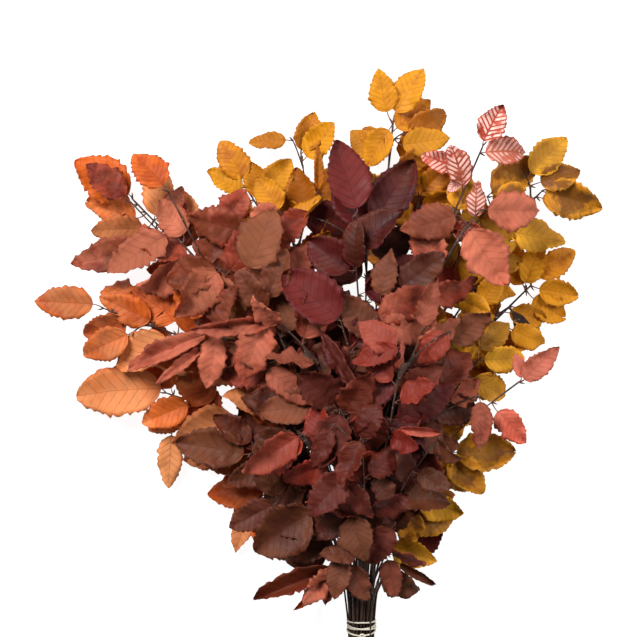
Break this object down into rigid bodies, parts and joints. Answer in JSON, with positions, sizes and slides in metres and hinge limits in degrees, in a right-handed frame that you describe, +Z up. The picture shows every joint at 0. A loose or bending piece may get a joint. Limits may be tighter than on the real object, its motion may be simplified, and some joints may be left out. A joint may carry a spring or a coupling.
{
  "type": "bunch of preserved autumn beech branches",
  "caption": "Tied bunch of preserved beech branches with autumn leaves in gold, amber, russet, coral, umber and burgundy, lying flat.",
  "frame": {"origin": "under the middle of the bunch's outline, on the surface that it lies on", "axes": "+Y runs along the stems from their cut ends to the crown, +Z is up, and +X is to the right when the bunch is seen from above with its crown away"},
  "size_m": [0.578, 0.6616, 0.1632],
  "materials": {
    "gold_leaf": "satin",
    "amber_leaf": "satin",
    "bronze_leaf": "satin",
    "russet_leaf": "satin",
    "coral_leaf": "satin",
    "umber_leaf": "satin",
    "burgundy_leaf": "satin",
    "bark": "matte",
    "twine": "matte"
  },
  "bodies": {
    "root": {"amber_branch_1": "amber_leaf", "amber_branch_2": "amber_leaf", "amber_branch_3": "amber_leaf", "amber_branch_4": "amber_leaf", "amber_branch_5": "amber_leaf", "amber_branch_6": "amber_leaf", "bronze_branch_1": "bronze_leaf", "bronze_branch_2": "bronze_leaf", "bronze_branch_3": "bronze_leaf", "bronze_branch_4": "bronze_leaf", "bronze_branch_5": "bronze_leaf", "burgundy_branch_1": "burgundy_leaf", "burgundy_branch_2": "burgundy_leaf", "burgundy_branch_3": "burgundy_leaf", "burgundy_branch_4": "burgundy_leaf", "burgundy_branch_5": "burgundy_leaf", "coral_branch_1": "coral_leaf", "coral_branch_2": "coral_leaf", "coral_branch_3": "coral_leaf", "coral_branch_4": "coral_leaf", "gold_branch_1": "gold_leaf", "gold_branch_2": "gold_leaf", "gold_branch_3": "gold_leaf", "gold_branch_4": "gold_leaf", "gold_branch_5": "gold_leaf", "gold_branch_6": "gold_leaf", "gold_branch_7": "gold_leaf", "gold_branch_8": "gold_leaf", "gold_branch_9": "gold_leaf", "russet_branch_1": "russet_leaf", "russet_branch_10": "russet_leaf", "russet_branch_11": "russet_leaf", "russet_branch_12": "russet_leaf", "russet_branch_13": "russet_leaf", "russet_branch_2": "russet_leaf", "russet_branch_3": "russet_leaf", "russet_branch_4": "russet_leaf", "russet_branch_5": "russet_leaf", "russet_branch_6": "russet_leaf", "russet_branch_7": "russet_leaf", "russet_branch_8": "russet_leaf", "russet_branch_9": "russet_leaf", "twine_tie": "twine", "umber_branch_1": "umber_leaf", "umber_branch_10": "umber_leaf", "umber_branch_2": "umber_leaf", "umber_branch_3": "umber_leaf", "umber_branch_4": "umber_leaf", "umber_branch_5": "umber_leaf", "umber_branch_6": "umber_leaf", "umber_branch_7": "umber_leaf", "umber_branch_8": "umber_leaf", "umber_branch_9": "umber_leaf"}
  },
  "joints": []
}
